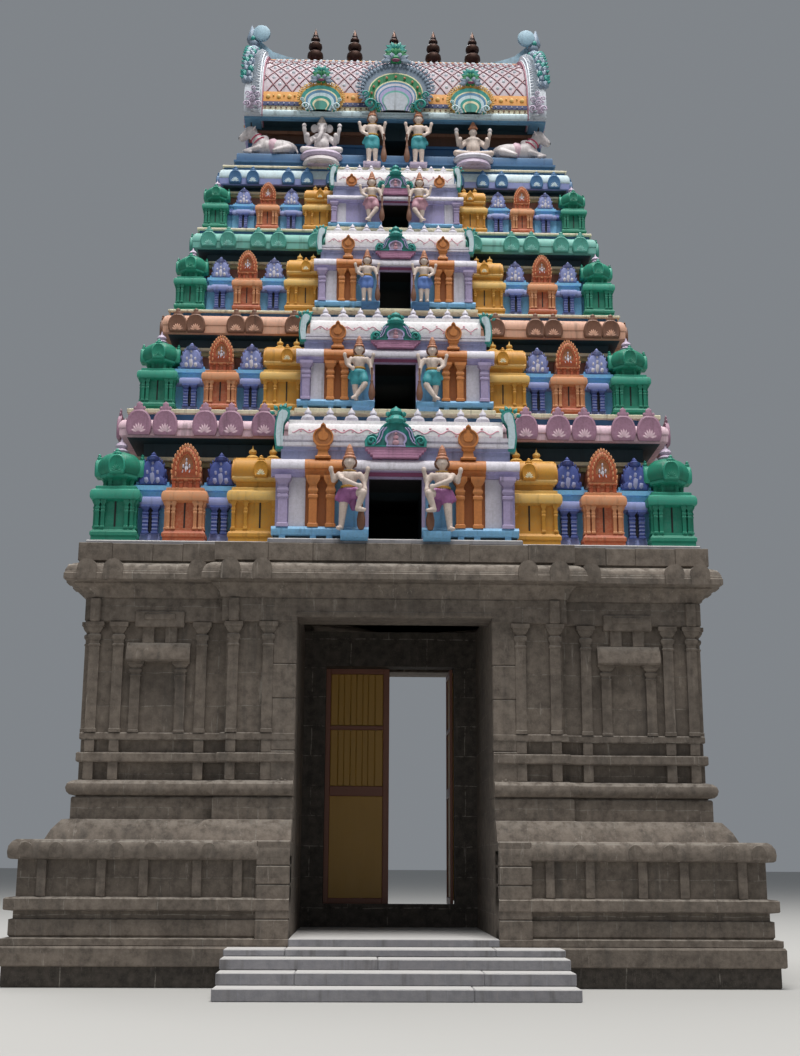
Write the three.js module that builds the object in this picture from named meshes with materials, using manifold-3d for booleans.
// A South Indian temple gate tower of five stages, 14.7 m tall. A granite base with a wide passage carries four
// brick tiers, each ringed with small shrines, and a barrel roof.
// Millimetres, +Z up. The front faces -Y, the passage runs along Y, and the origin is on the ground at the
// centre of the plan.

import * as THREE from "three";
import { mergeVertices } from "three/addons/utils/BufferGeometryUtils.js";
import Module from "manifold-3d";

const wasm = await Module();
wasm.setup();

// Driving dimensions of the granite base
const WALL_HALF_WIDTH = 3880;
const WALL_HALF_DEPTH = 2750;
const BAY_HALF_WIDTH = 2130; // the middle of each long front stands forward
const BAY_FORWARD = 130;
const PASSAGE_HALF_WIDTH = 1240;
const FOUNDATION_TOP = 465;
const FLOOR_TOP = 555;
const PLINTH_TOP = 1680;
const WALL_FOOT = 2980;
const LINTEL_SOFFIT = 4460;
const WALL_TOP = 4700;
const STONE_TOP = 5400;
const TOWER_FLOOR = 5470;
const LINTEL_DEPTH = 620;
const JAMB_HALF_WIDTH = 1540; // outer edge of the pillars that carry the lintel
const JAMB_FORWARD = 40; // how far they stand before the middle bay

// Steps, from the ground up: the top of each, and how far its front edge lies before the wall's face
const STEP_HALF_WIDTH = 1950;
const STEP_TOPS = [133, 266, 386, 465];
const STEP_REACH = [2400, 2000, 1600, 1200];
const FOUNDATION_REACH = 740;
const SILL_REACH = 720;

// Pier beside each end of the passage, as tall as the plinth
const PIER_WIDTH = 400;
const PIER_REACH = 685;

// Inner door frame and its two leaves
const FRAME_FRONT = -250;
const FRAME_DEPTH = 420;
const POST_WIDTH = 270;
const DOOR_TOP = 4240;
const THRESHOLD_HEIGHT = 270;
const STOP_WIDTH = 40; // of the rebate that a closed leaf shuts against
const STOP_CLEAR = 25; // from the rebate to the closed leaf
const LEAF_THICKNESS = 70;
const LEAF_GAP = 20;
const PIVOT_RADIUS = 25;
const PIVOT_INSET = 35; // from the leaf's hinge edge to the pivot's axis
const SOCKET_DEPTH = 40;
const RIGHT_LEAF_OPEN = 90; // degrees

// The four tiers of the tower: half sizes of the plan, the reach of the cornice before its wall, and heights above
// the tier's floor
const TIERS = [
  {
    floor: 5470, halfWidth: 3980, halfDepth: 2750, wall: 450, kuta: 650, shrine: 1370, reach: 340,
    eaves: 1505, corniceTop: 1745, next: 1910, bay: 1600, bayCornice: 1070, bayTop: 1720, opening: [345, 840],
  },
  {
    floor: 7380, halfWidth: 3520, halfDepth: 2320, wall: 400, kuta: 550, shrine: 1140, reach: 250,
    eaves: 1225, corniceTop: 1500, next: 1600, bay: 1330, bayCornice: 870, bayTop: 1360, opening: [280, 720],
  },
  {
    floor: 8980, halfWidth: 3130, halfDepth: 1970, wall: 350, kuta: 460, shrine: 960, reach: 225,
    eaves: 1040, corniceTop: 1280, next: 1380, bay: 1130, bayCornice: 760, bayTop: 1200, opening: [220, 650],
  },
  {
    floor: 10360, halfWidth: 2810, halfDepth: 1670, wall: 300, kuta: 385, shrine: 790, reach: 155,
    eaves: 815, corniceTop: 1060, next: 1140, bay: 970, bayCornice: 515, bayTop: 925, opening: [195, 400],
  },
];
const BAY_FORWARD_SHARE = 0.3; // of the tier's corner shrine, how far the middle bay stands before the shrines
const LANDING_THICKNESS = 90;
const CUT_GAP = 0.3; // left around a piece that another is cut by
const SIDE_ROW_SHARE = 0.8625; // of the half depth, the pitch length of a side row

// Places along a row, as shares of the row's length from its corner
const SLIM_SHRINES = [0.32, 0.7];
const GABLED_SHRINE = 0.515;
const BARREL_SHRINE = 0.95;

// Neck, barrel roof and ridge
const NECK_FLOOR = 11730;
const NECK_HALF_WIDTH = 2180;
const NECK_HALF_DEPTH = 1000;
const NECK_WALL = 250;
const NECK_SLAB = { halfWidth: 2400, halfDepth: 1400 };
const NECK_OPENING = [180, 430];
const ROOF_FOOT = 12350;
const ROOF_RIDGE = 14090;
const ROOF_HALF_LENGTH = 2030;
const ROOF_HALF_DEPTH = 1350;
const ROOF_SHELL = 230;
const ROOF_SLAB = 120;
const GABLE_THICKNESS = 260;
const GABLE_TIP = 14620;
const FINIAL_HEIGHT = 620;
const FINIAL_PITCH = 640;
const FINIAL_COUNT = 5;

const PAINT = {
  granite: [0x6e6253, 0.92, 0],
  cream: [0xcfc39a, 0.8, 0],
  timber: [0x5a2a1c, 0.7, 0],
  ochre: [0xb98a2c, 0.6, 0],
  wall: [0x6a5f66, 0.85, 0],
  pink: [0xd9b3c6, 0.8, 0],
  orange: [0xd98a5e, 0.8, 0],
  green: [0x4fae8c, 0.8, 0],
  sky: [0xa9cfe0, 0.8, 0],
  shrine: [0x1f9a6c, 0.75, 0],
  bay: [0xd7cfe6, 0.8, 0],
  blue: [0x3b6f9a, 0.8, 0],
  roof: [0xdcc0c8, 0.85, 0],
  gable: [0xc8cbd6, 0.85, 0],
  copper: [0x3a2420, 0.5, 0.4],
};

const part = new THREE.Group();

// A closed geometry as a manifold solid, turned the right way out
function solid(geometry) {
  const bare = geometry.index ? geometry.toNonIndexed() : geometry.clone();
  for (const name of ["normal", "uv"]) bare.deleteAttribute(name);
  const merged = mergeVertices(bare, 1e-3);
  const vertProperties = merged.attributes.position.array;
  const triVerts = new Uint32Array(merged.index.array);
  const made = new wasm.Manifold(new wasm.Mesh({ numProp: 3, vertProperties, triVerts }));
  if (made.volume() > 0) return made;
  for (let i = 0; i < triVerts.length; i += 3) {
    [triVerts[i + 1], triVerts[i + 2]] = [triVerts[i + 2], triVerts[i + 1]];
  }
  return new wasm.Manifold(new wasm.Mesh({ numProp: 3, vertProperties, triVerts }));
}

// Adds a manifold solid to the part as a named mesh
function place(name, made, paint) {
  const mesh = made.getMesh();
  const positions = new Float32Array(mesh.numVert * 3);
  for (let i = 0; i < mesh.numVert; i += 1) {
    positions.set(mesh.vertProperties.subarray(i * mesh.numProp, i * mesh.numProp + 3), i * 3);
  }
  const geometry = new THREE.BufferGeometry();
  geometry.setAttribute("position", new THREE.BufferAttribute(positions, 3));
  geometry.setIndex(new THREE.BufferAttribute(mesh.triVerts, 1));
  const [color, roughness, metalness] = PAINT[paint];
  const named = new THREE.Mesh(geometry, new THREE.MeshStandardMaterial({ color, roughness, metalness }));
  named.name = name;
  part.add(named);
}

const join = (pieces) => pieces.reduce((whole, piece) => whole.add(piece));
const turned = (made, degrees) => made.rotate([0, 0, degrees]);
const mirroredX = (made) => made.mirror([1, 0, 0]);
const mirroredY = (made) => made.mirror([0, 1, 0]);

// A plain block between two corners
function block(x0, x1, y0, y1, z0, z1) {
  const box = new THREE.BoxGeometry(x1 - x0, y1 - y0, z1 - z0);
  box.translate((x0 + x1) / 2, (y0 + y1) / 2, (z0 + z1) / 2);
  return solid(box);
}

// A rectangular block with a moulded profile on all four sides: a four-sided lathe, stretched to the plan.
// The profile is [outward offset, height] pairs from the bottom up.
function moulded(halfWidth, halfDepth, profile) {
  const points = profile.map(([out, z]) => new THREE.Vector2(Math.SQRT2 * (halfDepth + out), z));
  points.unshift(new THREE.Vector2(0, profile[0][1]));
  points.push(new THREE.Vector2(0, profile[profile.length - 1][1]));
  const lathe = new THREE.LatheGeometry(points, 4, Math.PI / 4);
  lathe.rotateX(Math.PI / 2);
  const at = lathe.attributes.position;
  for (let i = 0; i < at.count; i += 1) {
    const x = at.getX(i);
    if (Math.abs(x) > 1) at.setX(i, x + Math.sign(x) * (halfWidth - halfDepth));
  }
  return solid(lathe);
}

// A shape drawn in the X-Z plane, given thickness from y0 back to y1
function upright(shape, y0, y1, curveSegments = 6) {
  const cut = new THREE.ExtrudeGeometry(shape, { depth: y1 - y0, bevelEnabled: false, curveSegments });
  cut.rotateX(Math.PI / 2);
  cut.translate(0, y1, 0);
  return solid(cut);
}

// The same shape mirrored about x = 0: points from the foot of the right side up to the crown
function symmetricShape(rightSide) {
  const left = rightSide.filter(([x]) => x > 0).map(([x, z]) => [-x, z]).reverse();
  return new THREE.Shape([...rightSide, ...left].map(([x, z]) => new THREE.Vector2(x, z)));
}

// Horseshoe gable outline that stands on z = 0, with a pointed crest
function horseshoe(halfWidth, height) {
  return symmetricShape([
    [halfWidth * 0.78, 0],
    [halfWidth, height * 0.35],
    [halfWidth * 0.7, height * 0.68],
    [0, height],
  ]);
}

// Half of a symmetric mass, to the left or to the right of the passage
function side(made, sign) {
  const far = 9000;
  const inner = sign * PASSAGE_HALF_WIDTH;
  const outer = sign * far;
  return made.intersect(block(Math.min(inner, outer), Math.max(inner, outer), -far, far, -1, 2 * far));
}

// Granite base: foundation, floor and steps
function graniteFoot() {
  const foundation = moulded(WALL_HALF_WIDTH, WALL_HALF_DEPTH, [
    [680, 0],
    [680, 240],
    [FOUNDATION_REACH, 240],
    [FOUNDATION_REACH, FOUNDATION_TOP],
  ]);
  place("foundation", foundation, "granite");
  const reach = WALL_HALF_DEPTH + SILL_REACH;
  const floor = block(-PASSAGE_HALF_WIDTH, PASSAGE_HALF_WIDTH, -reach, reach, FOUNDATION_TOP, FLOOR_TOP);
  place("passage_floor", floor, "granite");
  const back = -(WALL_HALF_DEPTH + FOUNDATION_REACH);
  const steps = join(
    STEP_TOPS.map((top, i) => {
      const front = -(WALL_HALF_DEPTH + STEP_REACH[i]);
      return block(-STEP_HALF_WIDTH, STEP_HALF_WIDTH, front, back, 0, top);
    }),
  );
  const footing = block(-STEP_HALF_WIDTH, STEP_HALF_WIDTH, back - 1, back + 60, 0, 240);
  place("front_steps", steps.add(footing), "granite");
  place("rear_steps", mirroredY(steps.add(footing)), "granite");
}

// Granite base: the plinth, in two halves beside the passage, each with a pier at both ends of the passage
function plinth() {
  const courses = moulded(WALL_HALF_WIDTH, WALL_HALF_DEPTH, [
    [715, FOUNDATION_TOP],
    [715, 555],
    [620, 570],
    [640, 850],
    [700, 860],
    [700, 1005],
    [590, 1025],
    [590, 1480],
    [680, 1500],
    [690, 1600],
    [610, PLINTH_TOP],
  ]);
  const pierFront = WALL_HALF_DEPTH + PIER_REACH;
  const pierReach = PASSAGE_HALF_WIDTH + PIER_WIDTH;
  const piers = block(-pierReach, pierReach, -pierFront, pierFront, FOUNDATION_TOP, PLINTH_TOP);
  const left = side(courses.add(piers), -1);
  place("plinth_left", left, "granite");
  place("plinth_right", mirroredX(left), "granite");
}

// A flat pilaster with a spreading capital, standing against a wall at y = 0 and facing -Y
function pilaster(x, width, foot, top, depth) {
  const half = width / 2;
  const outline = symmetricShape([
    [half, foot],
    [half, top - width * 1.4],
    [half * 1.9, top],
  ]);
  return upright(outline, -depth, 1).translate([x, 0, 0]);
}

// Granite base: the moulded foot and the wall with its pilasters and niches
function stoneWalls() {
  const profile = [
    [340, PLINTH_TOP],
    [170, 1920],
    [90, 1930],
    [90, 2200],
    [150, 2290],
    [90, 2380],
    [-30, 2400],
    [-30, 2620],
    [70, 2630],
    [70, 2730],
    [-20, 2750],
    [-20, 2900],
    [40, 2910],
    [40, WALL_FOOT],
    [0, WALL_FOOT + 20],
    [0, 4380],
    [60, 4400],
    [60, WALL_TOP],
  ];
  const body = moulded(WALL_HALF_WIDTH, WALL_HALF_DEPTH, profile);
  const bay = moulded(BAY_HALF_WIDTH, WALL_HALF_DEPTH + BAY_FORWARD, profile);
  const width = 165;
  const depth = 55;
  const top = 4385;
  const pilastersAt = (places) => places.map((x) => pilaster(x, width, WALL_FOOT, top, depth));
  const [nicheDepth, canopyDepth] = [90, 130];
  const [canopyFoot, canopyTop, nicheTop] = [3890, 4010, 4330];
  const niche = (x) =>
    join([
      ...[x - 285, x + 285].map((at) => pilaster(at, 150, WALL_FOOT, canopyFoot + 10, nicheDepth)),
      block(x - 430, x + 430, -canopyDepth, 1, canopyFoot, canopyTop),
      block(x - 330, x + 330, -nicheDepth, 1, canopyTop, nicheTop),
    ]);
  const sideRow = join([...pilastersAt([-2750, -2250, -1000, 1000, 2250, 2750]), niche(0)]);
  const sideFace = turned(sideRow, -90).translate([-WALL_HALF_WIDTH, 0, 0]);
  const wallRow = join([...pilastersAt([-3810, -3465, -2425]), niche(-2945)]);
  const wallFace = wallRow.translate([0, -WALL_HALF_DEPTH, 0]);
  const bayFace = join(pilastersAt([-2000, -1570])).translate([0, -WALL_HALF_DEPTH - BAY_FORWARD, 0]);
  const faces = wallFace.add(bayFace);
  const jambFront = WALL_HALF_DEPTH + BAY_FORWARD + JAMB_FORWARD;
  const jambs = block(-JAMB_HALF_WIDTH, 0, -jambFront, jambFront, PLINTH_TOP, LINTEL_SOFFIT);
  const left = side(join([body, bay, faces, mirroredY(faces), sideFace, jambs]), -1).subtract(join(lintels()));
  place("stone_wall_left", left, "granite");
  place("stone_wall_right", mirroredX(left), "granite");
}

// The lintels over both ends of the passage, which bear on the jamb pillars
function lintels() {
  const front = -(WALL_HALF_DEPTH + BAY_FORWARD + JAMB_FORWARD + 20);
  const lintel = block(-JAMB_HALF_WIDTH, JAMB_HALF_WIDTH, front, front + LINTEL_DEPTH, LINTEL_SOFFIT, WALL_TOP);
  return [lintel, mirroredY(lintel)];
}

// Granite base: the lintels, and the slab with its cornice
function stoneTop() {
  const [frontLintel, rearLintel] = lintels();
  place("front_lintel", frontLintel, "granite");
  place("rear_lintel", rearLintel, "granite");
  const profile = [
    [90, WALL_TOP],
    [190, 4890],
    [310, 4900],
    [300, 4990],
    [240, 5080],
    [130, 5100],
    [130, 5150],
    [175, 5160],
    [175, STONE_TOP],
  ];
  const slab = moulded(WALL_HALF_WIDTH, WALL_HALF_DEPTH, profile);
  const bay = moulded(BAY_HALF_WIDTH, WALL_HALF_DEPTH + BAY_FORWARD, profile);
  place("stone_cornice", slab.add(bay), "granite");
  const course = [
    [0, STONE_TOP],
    [0, TOWER_FLOOR],
  ];
  const ledge = moulded(3990, 2780, course);
  const bayLedge = moulded(TIERS[0].bay + 40, 3000, course);
  place("tower_floor", ledge.add(bayLedge), "cream");
}

// The inner door frame: threshold, two posts and the lintel with the wall above it
function doorFrame() {
  const back = FRAME_FRONT + FRAME_DEPTH;
  const clear = PASSAGE_HALF_WIDTH - POST_WIDTH;
  const sill = FLOOR_TOP + THRESHOLD_HEIGHT;
  const socket = (x, z) => {
    const hole = new THREE.CylinderGeometry(PIVOT_RADIUS + 4, PIVOT_RADIUS + 4, SOCKET_DEPTH, 16);
    hole.rotateX(Math.PI / 2);
    hole.translate(x, pivotY(), z);
    return solid(hole);
  };
  const stopBack = pivotY() - LEAF_THICKNESS / 2 - STOP_CLEAR;
  const stop = (x0, x1, z0, z1) => block(x0, x1, FRAME_FRONT, stopBack, z0, z1);
  const inner = clear - STOP_WIDTH - CUT_GAP;
  const pivots = [-pivotX(), pivotX()];
  const bottom = pivots.map((x) => socket(x, sill - SOCKET_DEPTH / 2));
  const top = pivots.map((x) => socket(x, DOOR_TOP + SOCKET_DEPTH / 2));
  const step = block(-PASSAGE_HALF_WIDTH, PASSAGE_HALF_WIDTH, FRAME_FRONT, back, FLOOR_TOP, sill);
  const lowStop = stop(-inner, inner, sill, sill + STOP_WIDTH);
  place("door_threshold", step.subtract(join(bottom)).add(lowStop), "granite");
  const post = block(clear, PASSAGE_HALF_WIDTH, FRAME_FRONT, back, sill, DOOR_TOP);
  const stopped = post.add(stop(clear - STOP_WIDTH, clear, sill, DOOR_TOP));
  place("door_post_left", mirroredX(stopped), "granite");
  place("door_post_right", stopped, "granite");
  const head = block(-PASSAGE_HALF_WIDTH, PASSAGE_HALF_WIDTH, FRAME_FRONT, back, DOOR_TOP, WALL_TOP);
  const highStop = stop(-inner, inner, DOOR_TOP - STOP_WIDTH, DOOR_TOP);
  place("door_lintel", head.subtract(join(top)).add(highStop), "granite");
}

// The pivot's axis: each leaf turns about it, into the rear of the passage
function pivotX() {
  return PASSAGE_HALF_WIDTH - POST_WIDTH - LEAF_GAP - PIVOT_INSET;
}

function pivotY() {
  return FRAME_FRONT + FRAME_DEPTH - LEAF_THICKNESS / 2 - 20;
}

// One door leaf: a timber frame with ochre boards behind it. Its hinge is at x = 0 and it reaches towards +X.
function doorLeaf() {
  const hinge = -PIVOT_INSET;
  const width = pivotX() - 5;
  const foot = FLOOR_TOP + THRESHOLD_HEIGHT + LEAF_GAP;
  const head = DOOR_TOP - LEAF_GAP;
  const half = LEAF_THICKNESS / 2;
  const boardFace = half - 30;
  const stile = 90;
  const [pinHold, clearance, far] = [60, 0.5, 9000];
  const rails = [
    [foot, foot + 95],
    [foot + 1520, foot + 1660],
    [foot + 2470, foot + 2530],
    [head - 90, head],
  ];
  const frame = block(hinge, width, -half, boardFace, foot, head);
  const bays = rails.slice(1).map(([z0], i) => block(hinge + stile, width - stile, -far, far, rails[i][1], z0));
  const pin = (z0, z1) => {
    const post = new THREE.CylinderGeometry(PIVOT_RADIUS, PIVOT_RADIUS, z1 - z0, 16);
    post.rotateX(Math.PI / 2);
    post.translate(0, 0, (z0 + z1) / 2);
    return solid(post);
  };
  const pins = [
    pin(FLOOR_TOP + THRESHOLD_HEIGHT - SOCKET_DEPTH + clearance, foot + pinHold),
    pin(head - pinHold, DOOR_TOP + SOCKET_DEPTH - 5),
  ];
  const [boardsFoot, boardsHead] = [foot + pinHold + clearance, head - pinHold - clearance];
  const inner = block(hinge + 20, width - 20, boardFace, half, boardsFoot, boardsHead);
  const raised = bays.map((gap) =>
    gap.intersect(block(hinge + stile + 2, width - stile - 2, -half + 25, boardFace + 1, foot, head)),
  );
  return { frame: join([frame.subtract(join(bays)), ...pins]), boards: join([inner, ...raised]) };
}

function doors() {
  const { frame, boards } = doorLeaf();
  const leaves = { frame, boards };
  for (const [name, made] of Object.entries(leaves)) {
    const paint = name === "frame" ? "timber" : "ochre";
    place(`left_leaf_${name}`, made.translate([-pivotX(), pivotY(), 0]), paint);
    const open = turned(mirroredX(made), -RIGHT_LEAF_OPEN);
    place(`right_leaf_${name}`, open.translate([pivotX(), pivotY(), 0]), paint);
  }
}

// Small shrines. Each faces -Y, is centred on x = 0 and stands on z = 0 with its back at y = 0

// A square domed shrine, for the corners and wherever a dome shows
function domedShrine(width, height, halfWidth = width / 2) {
  const half = width / 2;
  const profile = [
    [0.98, 0],
    [0.86, 0.38],
    [1.04, 0.45],
    [0.55, 0.58],
    [0.88, 0.7],
    [0.76, 0.84],
    [0.04, 1],
  ];
  const made = moulded(halfWidth, half, profile.map(([share, z]) => [(share - 1) * half, z * height]));
  return made.translate([0, -half, 0]);
}

// A shrine whose roof is a tall horseshoe gable
function gabledShrine(width, height, depth) {
  const profile = [
    [0, 0],
    [-0.02, 0.43],
    [-0.19, 0.56],
    [-0.19, 0.63],
  ];
  const body = moulded(width / 2, depth / 2, profile.map(([out, z]) => [out * width, z * height]));
  const gable = upright(horseshoe(width * 0.36, height * 0.4), -depth * 0.86, -1);
  return body.translate([0, -depth / 2, 0]).add(gable.translate([0, 0, height * 0.6]));
}

// A slim shrine: one upright outline with a horseshoe head
function slimShrine(width, height, depth) {
  const outline = symmetricShape([
    [width * 0.5, 0],
    [width * 0.4, height * 0.76],
    [0, height],
  ]);
  return upright(outline, -depth, -1);
}

// One row of shrines along a wall, from its corner at x = 0 towards +X, with the low wall that links them
function shrineRow(tier, length, linkLength) {
  const { kuta, shrine } = tier;
  const slim = kuta * 0.48;
  const pieces = [block(kuta * 0.5, linkLength, -kuta * 0.42, 0, 0, shrine * 0.5)];
  for (const share of SLIM_SHRINES) {
    pieces.push(slimShrine(slim, shrine * 0.88, kuta * 0.62).translate([share * length, 0, 0]));
  }
  pieces.push(gabledShrine(kuta * 0.93, shrine * 0.99, kuta * 0.9).translate([GABLED_SHRINE * length, 0, 0]));
  return join(pieces);
}

// How far the tier's wall lies behind the front of its shrines
const wallInset = (tier) => tier.kuta * 0.95;
const bayFront = (tier) => tier.halfDepth + tier.kuta * BAY_FORWARD_SHARE;

// The shrines of one half of a tier: front row, side row and rear row, carried by one low wall
function shrines(tier) {
  const { halfWidth, halfDepth, kuta, shrine, bay } = tier;
  const inset = wallInset(tier);
  const wallX = halfWidth - inset;
  const wallY = halfDepth - inset;
  const rowLength = halfWidth - bay;
  const front = shrineRow(tier, rowLength, rowLength);
  const barrelAt = BARREL_SHRINE * rowLength;
  const barrel = domedShrine(kuta * 0.95, shrine, kuta * 0.68).translate([barrelAt, 0, 0]);
  const frontRow = front.add(barrel).translate([-halfWidth, -wallY, 0]);
  const sideLength = halfDepth * SIDE_ROW_SHARE;
  const sideRow = shrineRow(tier, sideLength, halfDepth).translate([-halfDepth, 0, 0]);
  const sideBarrel = domedShrine(kuta * 0.95, shrine, halfDepth * 0.3);
  const sideShrines = turned(join([sideRow, mirroredX(sideRow), sideBarrel]), -90).translate([-wallX, 0, 0]);
  const corner = domedShrine(kuta, shrine).translate([-halfWidth + kuta / 2, -halfDepth + kuta, 0]);
  const all = join([frontRow, mirroredY(frontRow), sideShrines, corner, mirroredY(corner)]);
  const keepOut = [
    block(-wallX, wallX, -wallY, wallY, -1, 2 * shrine),
    block(-bay, bay, -2 * halfDepth, 2 * halfDepth, -1, 2 * shrine),
  ];
  return all.subtract(join(keepOut)).translate([0, 0, tier.floor]);
}

// A standing four-armed guardian on a pedestal, as an upright outline
function guardian(height, depth) {
  const h = height;
  const outline = symmetricShape([
    [h * 0.14, 0],
    [h * 0.1, h * 0.58],
    [h * 0.17, h * 0.68],
    [h * 0.16, h * 0.82],
    [0, h],
  ]);
  return upright(outline, -depth, 1);
}

// The middle bay of a tier: base, pilasters, cornice, barrel canopy and pediment around the opening
function bay(tier) {
  const { kuta, bay: half, bayCornice, bayTop, eaves } = tier;
  const [openHalf, openTop] = tier.opening;
  const wallY = tier.halfDepth - wallInset(tier);
  const front = bayFront(tier);
  const unit = kuta / TIERS[0].kuta;
  const body = block(-half + 40, half - 40, -front + 110 * unit, -wallY, 0, bayCornice + 20);
  const base = block(-half, half, -front, -wallY, 0, openTop * 0.24);
  const canopyFoot = bayCornice + 0.3 * (bayTop - bayCornice);
  const band = block(-half, half, -front - 20 * unit, -wallY, bayCornice, canopyFoot + 7 * unit);
  const rise = bayTop - canopyFoot;
  const run = front - wallY;
  const vault = new THREE.Shape();
  vault.moveTo(0, canopyFoot);
  vault.lineTo(run, canopyFoot);
  vault.bezierCurveTo(run, canopyFoot + rise * 0.7, run * 0.75, bayTop, run * 0.45, bayTop);
  vault.lineTo(0, bayTop);
  const canopy = lengthways(vault, 30 - half, half - 30, 4).translate([0, wallY, 0]);
  const width = 150 * unit;
  const posts = [half - 90 * unit, half - 430 * unit, half - 600 * unit].flatMap((x) => [
    pilaster(x, width, openTop * 0.2, bayCornice + 1, 80 * unit),
    pilaster(-x, width, openTop * 0.2, bayCornice + 1, 80 * unit),
  ]);
  const face = join(posts).translate([0, -front + 111 * unit, 0]);
  const crest = upright(horseshoe(openHalf * 1.15, eaves * 0.34), -front - 30 * unit, -front + 120 * unit);
  const figureAt = openHalf + 240 * unit;
  const figure = guardian(eaves * 0.8, 230 * unit);
  const figures = [-1, 1].map((s) => figure.translate([s * figureAt, -front + 210 * unit, 0]));
  const opening = block(-openHalf, openHalf, -2 * front, 0, -1, openTop);
  const pediment = crest.translate([0, 0, bayCornice * 1.08]);
  const whole = join([body, base, band, mirroredY(canopy), face, pediment]).subtract(opening);
  return whole.add(join(figures)).translate([0, 0, tier.floor]);
}

// The tier's brick walls, with an opening in the front and in the rear
function tierWalls(tier) {
  const inset = wallInset(tier);
  const x = tier.halfWidth - inset;
  const y = tier.halfDepth - inset;
  const [openHalf, openTop] = tier.opening;
  const outer = block(-x, x, -y, y, 0, tier.eaves);
  const room = block(-x + tier.wall, x - tier.wall, -y + tier.wall, y - tier.wall, -1, tier.eaves + 1);
  const opening = block(-openHalf, openHalf, -2 * y, 2 * y, -1, openTop);
  return outer.subtract(room).subtract(opening).translate([0, 0, tier.floor]);
}

// The slab over a tier: its edge is the cornice, its top is the next floor, and it carries the next middle bay.
// Pieces that are cut to stand clear of it take it grown by a little.
function tierCornice(i, grow = 0) {
  const tier = TIERS[i];
  const inset = wallInset(tier);
  const { reach, eaves, corniceTop, next } = tier;
  const rise = corniceTop - eaves;
  const slab = moulded(tier.halfWidth - inset + grow, tier.halfDepth - inset + grow, [
    [0.25 * reach, eaves - grow],
    [reach, eaves + 0.2 * rise - grow],
    [0.97 * reach, eaves + 0.6 * rise],
    [0.7 * reach, corniceTop],
    [0.75 * reach, next + grow],
  ]);
  const above = TIERS[i + 1];
  if (!above) return slab.translate([0, 0, tier.floor]);
  const [x, y] = [above.bay + 40 + grow, bayFront(above) + 20 + grow];
  const landing = block(-x, x, -y, y, next - LANDING_THICKNESS - grow, next + grow);
  return slab.add(landing).translate([0, 0, tier.floor]);
}

function tower() {
  const colours = ["pink", "orange", "green", "sky"];
  TIERS.forEach((tier, i) => {
    const n = i + 1;
    const space = tierCornice(i, CUT_GAP);
    const left = shrines(tier).subtract(space);
    const middle = bay(tier).subtract(space);
    place(`tier_${n}_walls`, tierWalls(tier), "wall");
    place(`tier_${n}_cornice`, tierCornice(i), colours[i]);
    place(`tier_${n}_left_shrines`, left, "shrine");
    place(`tier_${n}_right_shrines`, mirroredX(left), "shrine");
    place(`tier_${n}_front_bay`, middle, "bay");
    place(`tier_${n}_rear_bay`, mirroredY(middle), "bay");
  });
}

// A seated figure on a round seat, as an upright outline
function seatedFigure(height, depth) {
  const h = height;
  const outline = symmetricShape([
    [h * 0.32, 0],
    [h * 0.4, h * 0.34],
    [h * 0.22, h * 0.46],
    [h * 0.36, h * 0.72],
    [h * 0.14, h * 0.72],
    [0, h],
  ]);
  return upright(outline, -depth, 1);
}

// A bull lying down, seen from its side, with its head towards -X
function bull(length, depth) {
  const s = length;
  const points = [
    [-0.5, 0],
    [0.5, 0],
    [0.5, 0.16],
    [0.25, 0.26],
    [-0.08, 0.26],
    [-0.2, 0.46],
    [-0.3, 0.52],
    [-0.5, 0.42],
    [-0.46, 0.34],
    [-0.34, 0.3],
  ];
  const outline = new THREE.Shape(points.map(([x, z]) => new THREE.Vector2(x * s, z * s)));
  return upright(outline, -depth, depth);
}

function neck() {
  const below = TIERS[3].floor + TIERS[3].next;
  const slab = moulded(NECK_SLAB.halfWidth, NECK_SLAB.halfDepth, [
    [0, below],
    [0, below + 60],
    [-40, below + 70],
    [-40, NECK_FLOOR],
  ]);
  const overlap = 0.14; // a sliver, so that the figures join the slab
  const figures = [-1, 1].flatMap((s) => [
    seatedFigure(690, 330).translate([s * 1110, -NECK_HALF_DEPTH, 0]),
    (s < 0 ? bull(800, 130) : mirroredX(bull(800, 130))).translate([s * 1900, -1180, 0]),
  ]);
  const standing = join(figures).translate([0, 0, NECK_FLOOR - overlap]);
  const [x, y] = [NECK_HALF_WIDTH, NECK_HALF_DEPTH];
  const outer = block(-x, x, -y, y, NECK_FLOOR, ROOF_FOOT);
  const underRoof = block(-2 * x, 2 * x, -2 * y, 2 * y, NECK_FLOOR - 1, ROOF_FOOT - 1);
  const carried = standing.add(mirroredY(standing)).intersect(underRoof).subtract(outer);
  place("neck_slab", slab.add(carried), "blue");
  const [openHalf, openHeight] = NECK_OPENING;
  const [roomX, roomY] = [x - NECK_WALL, y - NECK_WALL];
  const room = block(-roomX, roomX, -roomY, roomY, NECK_FLOOR - 1, ROOF_FOOT + 1);
  const opening = block(-openHalf, openHalf, -2 * y, 2 * y, NECK_FLOOR - 1, NECK_FLOOR + openHeight);
  const guardAt = openHalf + 190;
  const pair = join([-guardAt, guardAt].map((at) => guardian(600, 200).translate([at, -y, NECK_FLOOR])));
  const walls = outer.subtract(room).subtract(opening);
  place("neck_walls", join([walls, pair, mirroredY(pair)]), "wall");
}

// The roof's section: a keel arch that stands on ROOF_FOOT
function keel(halfDepth, foot, ridge) {
  const rise = ridge - foot;
  const arch = new THREE.Shape();
  arch.moveTo(-halfDepth, foot);
  arch.lineTo(halfDepth, foot);
  const belly = [halfDepth * 1.06, foot + rise * 0.5];
  const shoulder = [halfDepth * 0.5, foot + rise * 0.8];
  arch.bezierCurveTo(...belly, ...shoulder, 0, ridge);
  arch.bezierCurveTo(-shoulder[0], shoulder[1], -belly[0], belly[1], -halfDepth, foot);
  return arch;
}

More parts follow.
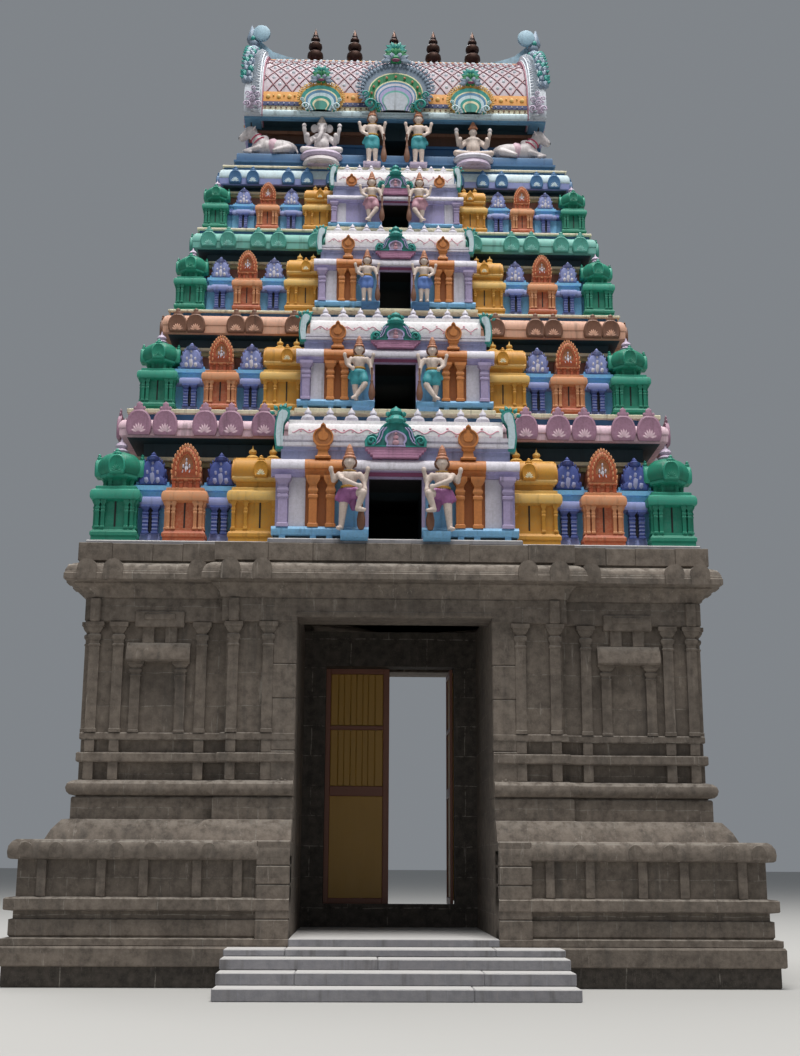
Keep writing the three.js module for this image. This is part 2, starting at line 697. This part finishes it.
// A shape drawn in the Y-Z plane, given length along X
function lengthways(shape, x0, x1, curveSegments) {
  const cut = new THREE.ExtrudeGeometry(shape, { depth: x1 - x0, bevelEnabled: false, curveSegments });
  cut.rotateX(Math.PI / 2);
  cut.rotateZ(Math.PI / 2);
  cut.translate(x0, 0, 0);
  return solid(cut);
}

function roof() {
  const [x, y] = [ROOF_HALF_LENGTH, ROOF_HALF_DEPTH];
  const vault = lengthways(keel(y, ROOF_FOOT, ROOF_RIDGE), -x, x, 6);
  const inside = keel(y - ROOF_SHELL, ROOF_FOOT + ROOF_SLAB, ROOF_RIDGE - ROOF_SHELL - 40);
  const hollow = lengthways(inside, -x - 1, x + 1, 5);
  const eavesEdge = moulded(x, y, [
    [-40, ROOF_FOOT],
    [50, ROOF_FOOT + 10],
    [50, ROOF_FOOT + 90],
  ]).intersect(block(-x, x, -2 * y, 2 * y, 0, ROOF_RIDGE));
  const arches = [
    [0, 540, 1230, 1470],
    [-1120, 340, 810, 1440],
    [1120, 340, 810, 1440],
  ].map(([at, half, height, reach]) =>
    upright(horseshoe(half, height), -reach, -400).translate([at, 0, ROOF_FOOT + 20]),
  );
  const front = join(arches);
  const body = join([vault, eavesEdge, front, mirroredY(front)]).subtract(hollow);
  place("roof_vault", body, "roof");
  const end = symmetricShape([
    [y + 60, ROOF_FOOT],
    [y + 100, ROOF_FOOT + 400],
    [y - 70, ROOF_FOOT + 860],
    [y * 0.77, ROOF_FOOT + 1200],
    [y * 0.45, ROOF_FOOT + 1600],
    [210, ROOF_FOOT + 1930],
    [0, GABLE_TIP],
  ]);
  const gable = lengthways(end, x, x + GABLE_THICKNESS, 1);
  place("right_gable", gable, "gable");
  place("left_gable", mirroredX(gable), "gable");
}

// Five pot finials on a ridge bar
function ridgeFinials() {
  const h = FINIAL_HEIGHT;
  const profile = [
    [0, 0],
    [0.15, 0],
    [0.2, 0.2],
    [0.09, 0.38],
    [0.17, 0.54],
    [0.06, 0.7],
    [0.09, 0.76],
    [0, 1],
  ].map(([r, z]) => new THREE.Vector2(r * h, z * h));
  const seat = ROOF_RIDGE - 30;
  const pots = Array.from({ length: FINIAL_COUNT }, (_, i) => {
    const pot = new THREE.LatheGeometry(profile, 8);
    pot.rotateX(Math.PI / 2);
    return solid(pot).translate([(i - (FINIAL_COUNT - 1) / 2) * FINIAL_PITCH, 0, seat + 20]);
  });
  const bar = block(-ROOF_HALF_LENGTH, ROOF_HALF_LENGTH, -70, 70, seat - 60, seat + 50);
  const vault = lengthways(keel(ROOF_HALF_DEPTH, ROOF_FOOT, ROOF_RIDGE + CUT_GAP), -9000, 9000, 6);
  place("ridge_finials", join([bar, ...pots]).subtract(vault), "copper");
}

graniteFoot();
plinth();
stoneWalls();
stoneTop();
doorFrame();
doors();
tower();
neck();
roof();
ridgeFinials();

export default part;
